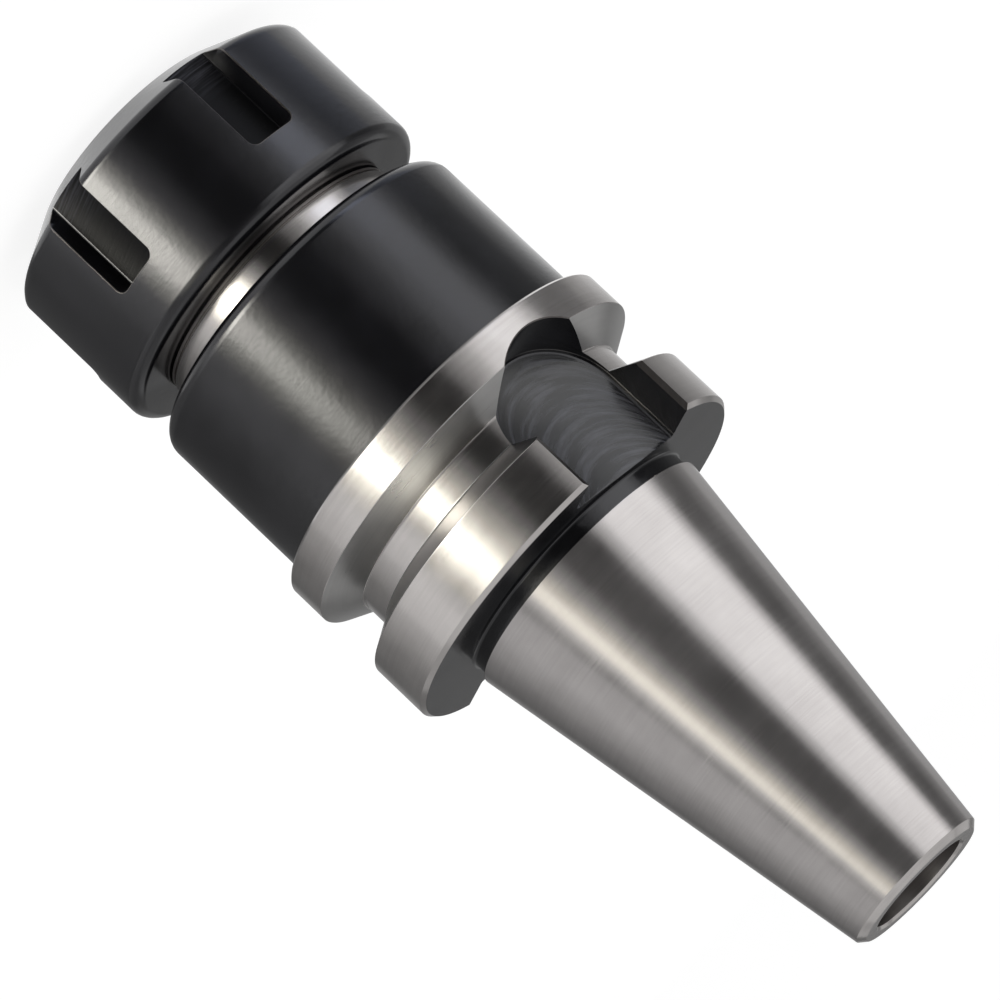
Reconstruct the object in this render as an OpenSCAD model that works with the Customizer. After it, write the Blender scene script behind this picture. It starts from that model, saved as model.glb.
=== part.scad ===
// Collet chuck holder: a steep-taper arbor with a gripper flange, a spring collet and its clamping nut.
// It stands on the nut's front face, with the axis along +Z and the small end of the taper uppermost.
// All lengths are in millimetres and all angles in degrees.

/* [Taper shank] */
// Diameter of the taper at the gauge plane
taper_gauge_d = 31.75; // [30:0.05:34]
// Length of the taper from the gauge plane to the small end
taper_len = 48.4; // [44:0.1:60]
// Change of diameter for each unit of length of the taper
taper_rate = 0.29167; // [0.25:0.00001:0.3]
// Bevel around the small end of the taper
tail_bevel = 0.7; // [0.2:0.1:1.2]
// Diameter of the relief between the flange and the taper
relief_d = 30.6; // [27:0.1:31]
// Length of the relief between the flange and the gauge plane
relief_len = 2; // [1.2:0.1:4]

/* [Flange] */
// Diameter of the gripper flange
flange_d = 46; // [44:0.5:56]
// Thickness of the flange
flange_t = 20; // [18:0.5:24]
// Bevel on the flange's outer edge at the shank side
flange_bevel = 0.5; // [0.1:0.1:0.8]
// Bevel on the flange's outer edge at the nose side
flange_nose_bevel = 0.3; // [0.1:0.1:0.6]
// Distance of the gripper groove's centre from the flange's shank side face
groove_pos = 11.25; // [10.5:0.05:12]
// Width of the gripper groove's flat floor
groove_floor_w = 3.3; // [2:0.1:4]
// Diameter of the gripper groove's floor
groove_floor_d = 37.7; // [35:0.1:40]
// Angle between the two sides of the gripper groove
groove_angle = 60; // [50:1:66]

/* [Drive slots] */
// Width of each drive slot, which is the end mill's diameter
drive_w = 16.1; // [12:0.1:17]
// Distance of the drive slots' floor from the axis
drive_floor = 16.3; // [15.8:0.1:18]
// Reach of the drive slots from the flange's shank side face to the round end
drive_reach = 17.2; // [14:0.1:18]
// Bevel along the drive slots' outer edges
drive_bevel = 0.6; // [0.2:0.1:1]
// Bevel between the floor and the walls of the drive slots
drive_root = 0.4; // [0.1:0.1:1]

/* [Body and nose] */
// Diameter of the black body behind the nut
body_d = 42; // [38:0.5:43]
// Length of the body up to the flange
body_len = 21.3; // [12:0.1:80]
// Rounding of the body's front edge
body_edge_r = 1.8; // [0.2:0.1:3]
// Diameter of the ground neck between the body and the thread
neck_d = 32.2; // [31.6:0.1:34]
// Width of the gap between the nut and the body
nut_gap = 3.8; // [2.5:0.1:8]
// Length of the last thread crest that shows behind the nut
crest_len = 0.3; // [0.1:0.05:0.4]
// Distance of that crest from the nut's rear face
crest_pos = 0.2; // [0.15:0.05:0.6]
// Width of the undercut between the thread and the neck
undercut_w = 0.3; // [0.2:0.05:0.6]
// Diameter of the undercut between the thread and the neck
undercut_d = 31.2; // [30:0.1:31.6]
// Bevel on the front of the nose thread
nose_bevel = 1; // [0.5:0.1:1.5]

/* [Nose thread] */
// Outer diameter of the nose thread
thread_d = 32; // [31:0.5:33]
// Pitch of the nose thread
thread_pitch = 1.5; // [1:0.25:2]
// Gap on the radius between the nose thread and the nut
thread_fit = 0.04; // [0.02:0.01:0.1]

/* [Collet socket and bore] */
// Gap between the collet and its seats in the socket and in the nut
seat_fit = 0.05; // [0.02:0.01:0.1]
// Free depth of the socket's taper behind the collet
socket_spare = 2; // [1:0.5:4]
// Bevel at the mouth of the socket
socket_bevel = 0.6; // [0.2:0.1:1]
// Diameter of the bore behind the socket
rear_bore_d = 16.5; // [12:0.5:17]
// Length of the bore behind the socket
rear_bore_len = 22; // [10:1:30]

/* [Pull stud hole] */
// Diameter of the thread for the pull stud
stud_d = 12; // [10:0.5:12]
// Pitch of the thread for the pull stud
stud_pitch = 1.75; // [1.25:0.25:1.75]
// Depth of the threaded hole from the small end
stud_depth = 24; // [20:1:28]
// Diameter of the plain pilot bore at the small end
pilot_d = 12.5; // [12.2:0.1:13]
// Length of the plain pilot bore
pilot_len = 6; // [3:0.5:8]
// Bevel at the mouth of the pilot bore
pilot_bevel = 0.3; // [0.1:0.1:0.6]
// Diameter of the coolant bore between the two holes
coolant_d = 8; // [4:0.5:9]

/* [Clamping nut] */
// Length of the nut
nut_len = 21.3; // [20:0.1:26]
// Outer diameter of the nut
nut_d = 42.1; // [40:0.1:44]
// Outer diameter of the nut's flat front face
nut_face_d = 29; // [26:0.5:32]
// Slope of the nut's front cone from the face
nut_cone_angle = 30; // [20:1:34]
// Rounding between the front cone and the outside
nut_edge_r = 1.5; // [0.5:0.1:3]
// Rounding between the outside and the rear face
nut_rear_edge_r = 1.4; // [0.5:0.1:2.5]
// Bevel at the rear mouth of the nut's thread
nut_mouth_bevel = 0.2; // [0.1:0.1:1]

/* [Spanner slots] */
// Number of spanner slots in the nut
spanner_count = 6; // [4:1:8]
// Width of each spanner slot
spanner_w = 6.2; // [4:0.1:8]
// Distance of the spanner slots' floor from the axis
spanner_floor = 17.6; // [17.4:0.1:19]
// Length of the spanner slots from the front face
spanner_len = 15; // [10:0.5:17]
// Rounding of the spanner slots' inner corners
spanner_r = 1; // [0.3:0.1:2]
// Turn of the first spanner slot from the first drive slot when the nut is tight
nut_clock = 6.1; // [0:0.1:60]

/* [Collet] */
// Largest diameter of the collet
collet_d = 26; // [25.5:0.1:26.5]
// Length of the collet
collet_len = 34; // [30:0.5:38]
// Slope of the collet's clamping taper from the axis
collet_angle = 8; // [7:0.1:9]
// Bore of the collet, which is the tool's shank diameter
collet_bore_d = 12; // [6:0.5:13]
// Distance of the collet's face behind the nut's front face
collet_recess = 0.4; // [0.2:0.1:1]
// Length of the collet's front cone
head_len = 2.6; // [2:0.1:3]
// Slope of the collet's front cone from the axis
head_angle = 30; // [27:1:33]
// Largest diameter of the collet's front cone
head_d = 24.8; // [24.4:0.1:25]
// Width of the collet's extraction groove
pull_groove_w = 2.2; // [2:0.1:2.6]
// Diameter of the collet's extraction groove
pull_groove_d = 22; // [21:0.1:22.2]
// Length of the collet's straight shoulder behind the groove
shoulder_len = 1; // [0.5:0.1:2]
// Bevels on the collet's ends and shoulder
collet_bevel = 0.4; // [0.2:0.1:0.6]
// Number of slits from each end of the collet
slit_count = 8; // [4:2:8]
// Width of the collet's slits
slit_w = 1; // [0.6:0.1:1.2]
// Length of collet left uncut at the end of each slit
slit_rest = 5; // [3:0.5:8]

/* [Extraction lip] */
// Diameter of the circle of the nut's extraction lip
lip_d = 24.2; // [24:0.1:24.4]
// Sideways shift of the lip's circle from the axis
lip_shift = 0.7; // [0.5:0.05:0.8]
// Width of the lip along the axis
lip_w = 1.4; // [1:0.1:1.5]
// Gap between the lip and the back of the collet's front cone
lip_gap = 0.3; // [0.2:0.05:0.4]

/* [Hidden] */
$fn = 64;

// How far a cutting tool runs past the faces that it cuts
overcut = 1;
// How far the circle of a rounding passes through the two lines that it joins
round_lap = 0.003;
// Room around the collet inside the nut
pocket_room = 0.5;
cavity_room = 0.6;
shoulder_room = 0.4;
relief_room = 0.35;
nut_relief_w = 2.7;

// Heights along the axis, from the nut's front face
body_front = nut_len + nut_gap;
flange_nose = body_front + body_len;
flange_face = flange_nose + flange_t;
gauge_plane = flange_face + relief_len;
tail_end = gauge_plane + taper_len;
groove_mid = flange_face - groove_pos;
drive_centre = flange_face - drive_reach + drive_w / 2;
crest_start = nut_len + crest_pos;
crest_end = crest_start + crest_len;
undercut_end = crest_end + undercut_w;
head_back = collet_recess + head_len;
groove_back = head_back + pull_groove_w;
taper_start = groove_back + shoulder_len;
collet_end = collet_recess + collet_len;
nose_front = taper_start + collet_bevel;
socket_end = collet_end + socket_spare;
rear_bore_end = socket_end + rear_bore_len;
lip_front = head_back + lip_gap;
lip_back = lip_front + lip_w;

// Radii
flange_r = flange_d / 2;
groove_floor_r = groove_floor_d / 2;
drive_r = drive_w / 2;
body_r = body_d / 2;
neck_r = neck_d / 2;
thread_r = thread_d / 2;
nut_r = nut_d / 2;
nut_face_r = nut_face_d / 2;
collet_r = collet_d / 2;
head_r = head_d / 2;
lip_r = lip_d / 2;
pilot_r = pilot_d / 2;
coolant_r = coolant_d / 2;
rear_bore_r = rear_bore_d / 2;

// A thread is drawn as a plain cylinder at its pitch diameter, 0.6495 pitches under the outer one
pitch_drop = 0.6495 / 2;
nose_thread_r = thread_r - pitch_drop * thread_pitch - thread_fit / 2;
nut_thread_r = nose_thread_r + thread_fit;
stud_thread_r = stud_d / 2 - pitch_drop * stud_pitch;

// Seats of the collet
socket_offset = seat_fit / cos(collet_angle);
head_offset = seat_fit / cos(head_angle);
head_face_r = head_r - head_len * tan(head_angle);

// Inside of the nut
nut_opening_r = head_face_r - collet_recess * tan(head_angle) + head_offset;
nut_pocket_r = head_r + pocket_room;
nut_cavity_r = collet_r + cavity_room;
nut_cavity_end = groove_back + shoulder_room;
nut_relief_r = thread_r + relief_room;
nut_relief_end = nut_cavity_end + nut_relief_w;

function unit(v) = v / norm(v);
function taper_r(z) = (taper_gauge_d - taper_rate * (z - gauge_plane)) / 2;
function collet_taper_r(z) = collet_r - (z - taper_start) * tan(collet_angle);
function cone_height(dr, angle) = dr * tan(angle);

// Area between a corner of a profile and the arc that rounds it
module corner_tip(before, corner, after, r) {
    a = unit(before - corner);
    b = unit(after - corner);
    half = acos(a * b) / 2;
    reach = r / tan(half);
    inward = unit(a + b);
    difference() {
        polygon([
            corner + a * reach,
            corner + a * reach - inward * r,
            corner - inward * r,
            corner + b * reach - inward * r,
            corner + b * reach
        ]);
        translate(corner + inward * r / sin(half)) circle(r = r + round_lap);
    }
}

// Outline of the arbor from the axis outwards, as a half section
module arbor_section() {
    flank = (flange_r - groove_floor_r) * tan(groove_angle / 2);
    groove_half = groove_floor_w / 2;
    front_corner = [body_r, body_front];
    tail_r = taper_r(tail_end);
    difference() {
        polygon([
            [0, nose_front],
            [nose_thread_r - nose_bevel, nose_front],
            [nose_thread_r, nose_front + nose_bevel],
            [nose_thread_r, crest_start],
            [thread_r, crest_start],
            [thread_r, crest_end],
            [undercut_d / 2, crest_end],
            [undercut_d / 2, undercut_end],
            [neck_r, undercut_end],
            [neck_r, body_front],
            front_corner,
            [body_r, flange_nose],
            [flange_r - flange_nose_bevel, flange_nose],
            [flange_r, flange_nose + flange_nose_bevel],
            [flange_r, groove_mid - groove_half - flank],
            [groove_floor_r, groove_mid - groove_half],
            [groove_floor_r, groove_mid + groove_half],
            [flange_r, groove_mid + groove_half + flank],
            [flange_r, flange_face - flange_bevel],
            [flange_r - flange_bevel, flange_face],
            [relief_d / 2, flange_face],
            [relief_d / 2, gauge_plane],
            [taper_r(gauge_plane), gauge_plane],
            [taper_r(tail_end - tail_bevel), tail_end - tail_bevel],
            [tail_r - tail_bevel, tail_end],
            [0, tail_end]
        ]);
        corner_tip([neck_r, body_front], front_corner, [body_r, flange_nose], body_edge_r);
    }
}

// Collet socket, rear bore and coolant bore, as a half section to be cut away
module socket_section() {
    mouth_z = nose_front + socket_bevel;
    mouth_r = collet_taper_r(mouth_z) + socket_offset;
    drill_tip = (rear_bore_r - coolant_r) / 2;
    polygon([
        [0, nose_front - overcut],
        [mouth_r + socket_bevel + overcut, nose_front - overcut],
        [mouth_r, mouth_z],
        [collet_taper_r(socket_end) + socket_offset, socket_end],
        [rear_bore_r, socket_end],
        [rear_bore_r, rear_bore_end],
        [coolant_r, rear_bore_end + drill_tip],
        [coolant_r, tail_end - stud_depth],
        [0, tail_end - stud_depth]
    ]);
}

// Threaded hole, pilot bore and bevel at the small end, as a half section to be cut away
module stud_section() {
    floor_z = tail_end - stud_depth;
    drill_tip = (stud_thread_r - coolant_r) / 2;
    polygon([
        [0, floor_z - drill_tip],
        [coolant_r, floor_z - drill_tip],
        [stud_thread_r, floor_z],
        [stud_thread_r, tail_end - pilot_len],
        [pilot_r, tail_end - pilot_len],
        [pilot_r, tail_end - pilot_bevel],
        [pilot_r + pilot_bevel + overcut, tail_end + overcut],
        [0, tail_end + overcut]
    ]);
}

// Plan of the end mill's path, with X across the slot and Y up to the flange's face
module drive_plan() {
    translate([0, drive_centre]) circle(r = drive_r);
    translate([-drive_r, drive_centre]) square([drive_w, flange_face + overcut - drive_centre]);
}

// Tool that cuts one drive slot, along +X, with a bevel around its floor and along its outer edges
module drive_cutter() {
    run = flange_face + overcut - drive_centre;
    edge_x = sqrt(flange_r * flange_r - drive_r * drive_r);
    edge_start = groove_mid + groove_floor_w / 2;
    edge_side = drive_bevel * sqrt(2);
    translate([drive_floor + drive_root, 0, 0])
        rotate([90, 0, 90])
            linear_extrude(height = flange_r + overcut - drive_floor) drive_plan();
    translate([drive_floor, 0, drive_centre])
        rotate([0, 90, 0])
            cylinder(r1 = drive_r - drive_root, r2 = drive_r, h = drive_root);
    translate([drive_floor, 0, drive_centre])
        linear_extrude(height = run)
            polygon([
                [0, drive_root - drive_r],
                [drive_root, -drive_r],
                [drive_root, drive_r],
                [0, drive_r - drive_root]
            ]);
    for (side = [-1, 1])
        translate([edge_x, side * drive_r, edge_start])
            rotate(45)
                translate([-edge_side / 2, -edge_side / 2, 0])
                    cube([edge_side, edge_side, flange_face + overcut - edge_start]);
}

// One-piece arbor: nose, neck, body, gripper flange and taper shank
module arbor() {
    color("dimgray")
        difference() {
            rotate_extrude() arbor_section();
            rotate_extrude() socket_section();
            rotate_extrude() stud_section();
            for (turn = [0, 180]) rotate(turn) drive_cutter();
        }
}

// Outside of the nut, as a half section down to the axis
module nut_outside_section() {
    cone_end = cone_height(nut_r - nut_face_r, nut_cone_angle);
    cone_corner = [nut_r, cone_end];
    rear_corner = [nut_r, nut_len];
    difference() {
        polygon([
            [0, 0],
            [nut_face_r, 0],
            cone_corner,
            rear_corner,
            [0, nut_len]
        ]);
        corner_tip([nut_face_r, 0], cone_corner, rear_corner, nut_edge_r);
        corner_tip(cone_corner, rear_corner, [0, nut_len], nut_rear_edge_r);
    }
}

// Inside of the nut apart from its lip, as a half section to be cut away
module nut_inside_section() {
    polygon([
        [0, -overcut],
        [nut_opening_r - overcut * tan(head_angle), -overcut],
        [nut_opening_r + head_back * tan(head_angle), head_back],
        [nut_pocket_r, head_back],
        [nut_pocket_r, lip_front],
        [0, lip_front]
    ]);
    polygon([
        [0, lip_back],
        [nut_cavity_r, lip_back],
        [nut_cavity_r, nut_cavity_end],
        [nut_relief_r, nut_cavity_end],
        [nut_relief_r, nut_relief_end],
        [nut_thread_r, nut_relief_end + nut_relief_r - nut_thread_r],
        [nut_thread_r, nut_len - nut_mouth_bevel],
        [nut_thread_r + nut_mouth_bevel + overcut, nut_len + overcut],
        [0, nut_len + overcut]
    ]);
}

// Plan of a spanner slot, with X across the slot and Y along the nut's axis
module spanner_plan() {
    half_w = spanner_w / 2;
    difference() {
        translate([-half_w, -overcut]) square([spanner_w, spanner_len + overcut]);
        corner_tip([-half_w, 0], [-half_w, spanner_len], [half_w, spanner_len], spanner_r);
        corner_tip([-half_w, spanner_len], [half_w, spanner_len], [half_w, 0], spanner_r);
    }
}

// Slotted clamping nut with its internal cone, eccentric lip and thread bore
module clamping_nut() {
    color("#26262a")
        rotate(nut_clock)
            difference() {
                rotate_extrude() nut_outside_section();
                rotate_extrude() nut_inside_section();
                translate([lip_shift, 0, lip_front - lip_gap / 2])
                    cylinder(r = lip_r, h = lip_w + lip_gap);
                for (i = [0 : spanner_count - 1])
                    rotate(i * 360 / spanner_count)
                        translate([spanner_floor, 0, 0])
                            rotate([90, 0, 90])
                                linear_extrude(height = nut_r - spanner_floor + overcut) spanner_plan();
            }
}

// Outline of the collet with its bore, as a half section
module collet_section() {
    bore_r = collet_bore_d / 2;
    end_r = collet_taper_r(collet_end);
    polygon([
        [bore_r + collet_bevel, collet_recess],
        [head_face_r, collet_recess],
        [head_r, head_back],
        [pull_groove_d / 2, head_back],
        [pull_groove_d / 2, groove_back],
        [collet_r - collet_bevel, groove_back],
        [collet_r, groove_back + collet_bevel],
        [collet_r, taper_start],
        [collet_taper_r(collet_end - collet_bevel), collet_end - collet_bevel],
        [end_r - collet_bevel, collet_end],
        [bore_r + collet_bevel, collet_end],
        [bore_r, collet_end - collet_bevel],
        [bore_r, collet_recess + collet_bevel]
    ]);
}

// Blades that cut the slits between two heights, each across the whole collet
module slit_blades(z_low, z_high, first_turn) {
    step = 360 / slit_count;
    for (i = [0 : slit_count / 2 - 1])
        rotate(first_turn + i * step)
            translate([-collet_d, -slit_w / 2, z_low])
                cube([2 * collet_d, slit_w, z_high - z_low]);
}

// Spring collet, slit in turn from both ends
module collet() {
    half_step = 180 / slit_count;
    color("silver")
        difference() {
            rotate_extrude() collet_section();
            slit_blades(collet_recess - overcut, collet_end - slit_rest, 0);
            slit_blades(groove_back + slit_rest, collet_end + overcut, half_step);
        }
}

arbor();
clamping_nut();
collet();
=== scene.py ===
"""Looks of a collet chuck holder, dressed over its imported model.

The holder stands on its clamping nut, with the small end of its taper uppermost. Three pieces carry
the looks: the one-piece arbor, the slotted clamping nut on its nose, and the slit collet inside.
Sizes in the classes are in millimetres, along the spindle axis from the nut's front face, and the
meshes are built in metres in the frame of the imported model.
"""
import logging
import math
from collections.abc import Callable, Sequence
from dataclasses import dataclass, field
from enum import Enum
from functools import partial

import bmesh
import bpy
import numpy as np
from bpy.types import Material, Mesh, Node, NodeSocket, NodeTree, Object
from mathutils import Matrix, Vector


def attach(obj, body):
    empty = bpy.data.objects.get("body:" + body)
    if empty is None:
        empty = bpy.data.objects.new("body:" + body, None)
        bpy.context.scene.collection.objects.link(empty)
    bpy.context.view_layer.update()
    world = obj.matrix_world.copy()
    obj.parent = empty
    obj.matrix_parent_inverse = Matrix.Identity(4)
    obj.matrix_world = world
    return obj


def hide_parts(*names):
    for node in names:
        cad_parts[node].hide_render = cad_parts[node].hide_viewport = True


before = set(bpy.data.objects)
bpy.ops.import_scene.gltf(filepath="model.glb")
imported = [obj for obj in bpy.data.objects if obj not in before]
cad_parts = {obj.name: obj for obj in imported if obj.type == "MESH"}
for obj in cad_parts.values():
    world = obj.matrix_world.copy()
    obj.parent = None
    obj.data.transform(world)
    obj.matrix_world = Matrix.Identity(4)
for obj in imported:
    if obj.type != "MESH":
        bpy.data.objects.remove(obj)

log = logging.getLogger("holder")

MM = 0.001

# Turned meshes: facets around the axis, steps of their rounded edges, and marks on their faces
SEGMENTS = 256
ANGLES = np.arange(SEGMENTS) * 2 * math.pi / SEGMENTS
ARC_STEP_DEG = 15.0
SHARP_EDGE_DEG = 30.0
SAME_NORMAL = 0.99999
WELD_MM = 0.001
TINY = 1e-9
BAND = "band"

# Where a rounded root or edge of a slot has its middle point, as a share of its size
ROOT_STEP = 0.3

# Most values of a noise lie between these two
NOISE_SPAN = {"From Min": 0.3, "From Max": 0.7}

# The light tent
GLOW = "glow"
WARM = "#FFFCF0"
BLUISH = "#E8EEFF"
TENT_START_DEG = -150
TENT_STEP_DEG = 5
DISC_CORNERS = 36

Spot = tuple[float, float]
Point = tuple[float, float, float]
Face = tuple[int, ...]
Colour = tuple[float, float, float, float]
AddNode = Callable[..., Node]


def linear_colour(code: str) -> Colour:
    """Turns an sRGB hex value into the linear colour that a shader socket takes.

    Args:
        code: Colour as "#RRGGBB".

    Returns:
        Red, green, blue and an alpha of 1.
    """
    values = [int(code[i:i + 2], 16) / 255 for i in (1, 3, 5)]
    red, green, blue = (v / 12.92 if v <= 0.04045 else ((v + 0.055) / 1.055) ** 2.4 for v in values)
    return red, green, blue, 1.0


def add_node(
    tree: NodeTree,
    kind: str,
    inputs: dict[str | int, object] | None = None,
    operation: str | None = None,
    **settings: object,
) -> Node:
    """Adds a shader node, with its settings, values and incoming links.

    Args:
        tree: Node tree that gets the node.
        kind: Type of the node, without the "ShaderNode" before it.
        inputs: Value, socket or node (for its first output) for each input, by its name or number.
        operation: What a node that calculates does.
        **settings: Properties of the node itself.

    Returns:
        The new node.
    """
    node = tree.nodes.new("ShaderNode" + kind)
    if operation:
        node.operation = operation
    for name, value in settings.items():
        setattr(node, name, value)
    for key, value in (inputs or {}).items():
        if isinstance(value, Node):
            value = value.outputs[0]
        if isinstance(value, NodeSocket):
            tree.links.new(value, node.inputs[key])
        else:
            node.inputs[key].default_value = value
    return node


def link(name: str, data: bpy.types.ID) -> Object:
    """Adds an object to the scene, with its mesh or lens."""
    thing = bpy.data.objects.new(name, data)
    bpy.context.scene.collection.objects.link(thing)
    return thing


def new_material(name: str, shade: Callable[[AddNode], Node]) -> Material:
    """Makes a node material.

    Args:
        name: Name of the material.
        shade: Adds the material's own nodes and gives the shader.

    Returns:
        The material.
    """
    material = bpy.data.materials.new(name)
    material.use_nodes = True
    material.node_tree.nodes.clear()
    add = partial(add_node, material.node_tree)
    add("OutputMaterial", {"Surface": shade(add)})
    return material


@dataclass(frozen=True)
class Finish:
    """A finish whose pattern leads from a dark to a light colour and raises the surface a little."""

    name: str
    dark: str
    light: str
    roughness: float
    spread: float = 0.0
    relief_mm: float = 0.0
    strength: float = 1.0
    metallic: float = 0.0
    ior: float | None = None
    tint: str = "#FFFFFF"

    def pattern(self, add: AddNode, place: NodeSocket) -> tuple[Node, Node]:
        """Adds the nodes of the pattern.

        Args:
            add: Adds a node to the material.
            place: Place on the piece, in metres along its axes.

        Returns:
            The pattern's tone, from 0 for dark to 1 for light, and its height.
        """
        raise NotImplementedError

    def shade(self, add: AddNode) -> Node:
        """Adds the finish's nodes to a material.

        Args:
            add: Adds a node to the material.

        Returns:
            The shader.
        """
        tone, height = self.pattern(add, add("TexCoord").outputs["Object"])
        colours = {0: tone, 6: linear_colour(self.dark), 7: linear_colour(self.light)}
        relief = {"Strength": self.strength, "Distance": self.relief_mm * MM, "Height": height}
        skin = {
            "Base Color": add("Mix", colours, data_type="RGBA").outputs[2],
            "Metallic": self.metallic,
            "Roughness": self.roughness,
            "Specular Tint": linear_colour(self.tint),
            "Normal": add("Bump", relief),
        }
        if self.spread:
            ends = {"To Min": self.roughness - self.spread, "To Max": self.roughness + self.spread}
            skin["Roughness"] = add("MapRange", {"Value": tone, **ends})
        if self.ior:
            skin["IOR"] = self.ior
        return add("BsdfPrincipled", skin)


@dataclass(frozen=True)
class TurnedFinish(Finish):
    """A finish with fine marks around the axis, over clouds and a mottle that have no direction."""

    streak_mm: float = 12.0
    grain_mm: float = 0.16
    cloud_mm: float = 5.0
    mottle_mm: float = 0.45
    cloud_share: float = 0.65
    streak_share: float = 0.35
    details: tuple[float, float, float] = (3.0, 2.0, 3.0)

    def lay(self, add: AddNode, place: NodeSocket) -> Node:
        """Adds coordinates for the marks that a lathe or a grinding wheel leaves around the axis.

        Args:
            add: Adds a node to the material.
            place: Place on the piece, in metres along its axes.

        Returns:
            A vector in which one unit is one mark.
        """
        body_radius_mm = 21.0
        radial_share = 1.3
        flat = add("VectorMath", {0: place, 1: (1, 1, 0)}, "MULTIPLY")
        around = add("VectorMath", {0: flat}, "NORMALIZE")
        arc = add("VectorMath", {0: around, "Scale": body_radius_mm / self.streak_mm}, "SCALE")
        radius = add("VectorMath", {0: flat}, "LENGTH").outputs["Value"]
        height = add("SeparateXYZ", {0: place}).outputs["Z"]
        outward = add("Math", {0: radius, 1: radial_share, 2: height}, "MULTIPLY_ADD")
        fine = add("Math", {0: outward, 1: 1 / (self.grain_mm * MM)}, "MULTIPLY")
        return add("VectorMath", {0: arc, 1: add("CombineXYZ", {"Z": fine})}, "ADD")

    def pattern(self, add: AddNode, place: NodeSocket) -> tuple[Node, Node]:
        """Gives clouds with some streaks as the tone, and a mottle with some streaks as the height."""
        places = ((self.lay(add, place), 1.0), (place, self.cloud_mm * MM), (place, self.mottle_mm * MM))
        streaks, clouds, mottle = (
            add("TexNoise", {"Vector": vector, "Scale": 1 / size, "Detail": detail})
            for (vector, size), detail in zip(places, self.details)
        )
        blend = add("Mix", {0: self.cloud_share, 2: streaks, 3: clouds})
        height = add("Math", {0: streaks, 1: self.streak_share, 2: mottle}, "MULTIPLY_ADD")
        return add("MapRange", {"Value": blend, **NOISE_SPAN}), height


@dataclass(frozen=True)
class GroundSteel(TurnedFinish):
    """Hardened alloy steel, ground or fine-turned around its axis.

    The wheel leaves marks too fine to see one by one, so the eye gets a satin metal whose highlights
    are soft bands along the part, with faint streaks and a fine mottle in them.
    """

    spread: float = 0.03
    relief_mm: float = 0.002
    strength: float = 0.5
    metallic: float = 1.0


@dataclass(frozen=True)
class BlackOxide(TurnedFinish):
    """Steel blackened in a hot caustic bath over a turned surface.

    The magnetite skin is a deep bluish black with an oily satin gloss: dark face on, it lights up in
    broad soft bands, and its fine unevenness mottles them.
    """

    dark: str = "#0C0C0E"
    light: str = "#131316"
    roughness: float = 0.18
    spread: float = 0.025
    relief_mm: float = 0.009
    ior: float = 1.7
    tint: str = "#F2F2F6"
    streak_mm: float = 9.0
    grain_mm: float = 0.22
    cloud_mm: float = 4.8
    mottle_mm: float = 0.6
    cloud_share: float = 1.0
    streak_share: float = 0.25
    details: tuple[float, float, float] = (2.0, 2.0, 4.0)


@dataclass(frozen=True)
class EndMilledOxide(Finish):
    """Blackened floor and walls of a slot cut by an end mill fed along it.

    The cutter's corner leaves an arc at each step of the feed, raised as a small bump, and their
    crests are painted as paler rings on the dark floor, a painted highlight. From the nut's front up
    to a height the painted crest highlights are full, and further in they fade to painted shade.
    """

    dark: str = "#111216"
    light: str = "#4C4D54"
    roughness: float = 0.27
    relief_mm: float = 0.03
    ior: float = 1.7
    cutter_r_mm: float = 8.05
    feed_mm: float = 1.5
    # Painted highlight: crest highlights are full up to this share of this height from the nut's front, then fade to
    # painted shade
    highlight_reach_mm: float = 300.0
    full_highlight_share: float = 0.3
    breaks_per_m: float = 90.0
    arcs_per_step: float = 2.2
    darkest: float = -0.5

    def pattern(self, add: AddNode, place: NodeSocket) -> tuple[Node, Node]:
        """Gives the feed's arcs, their crests painted as highlights that are full near the front and fade to painted
        shade further in, and their height.
        """
        axes = add("SeparateXYZ", {0: place}).outputs
        square = add("Math", {0: axes["Y"], 1: axes["Y"]}, "MULTIPLY")
        cutter_square = (self.cutter_r_mm * MM) ** 2
        rest = add("Math", {0: cutter_square, 1: square}, "SUBTRACT", use_clamp=True)
        reach = add("Math", {0: rest}, "SQRT")
        centre = add("Math", {0: axes["Z"], 1: reach}, "ADD")
        steps = add("Math", {0: centre, 1: 1 / (self.feed_mm * MM)}, "MULTIPLY")
        across = add("VectorMath", {0: place, 1: (self.breaks_per_m, self.breaks_per_m, 0)}, "MULTIPLY")
        rings = add("VectorMath", {0: across, 1: add("CombineXYZ", {"Z": steps})}, "ADD")
        arcs = add("TexNoise", {"Vector": rings, "Scale": self.arcs_per_step, "Detail": 6.0})
        # The feed's crests painted paler, as highlights
        crest_highlights = add("MapRange", {"Value": arcs, **NOISE_SPAN, "To Min": self.darkest})
        # Painted highlight near the front, fading to painted shade further in
        ends = {"From Min": self.full_highlight_share * self.highlight_reach_mm * MM, "From Max": self.highlight_reach_mm * MM}
        front_highlight = add("MapRange", {"Value": axes["Z"], **ends, "To Min": 1.0, "To Max": 0.0})
        return add("Math", {0: crest_highlights, 1: front_highlight}, "MULTIPLY", use_clamp=True), arcs


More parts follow.
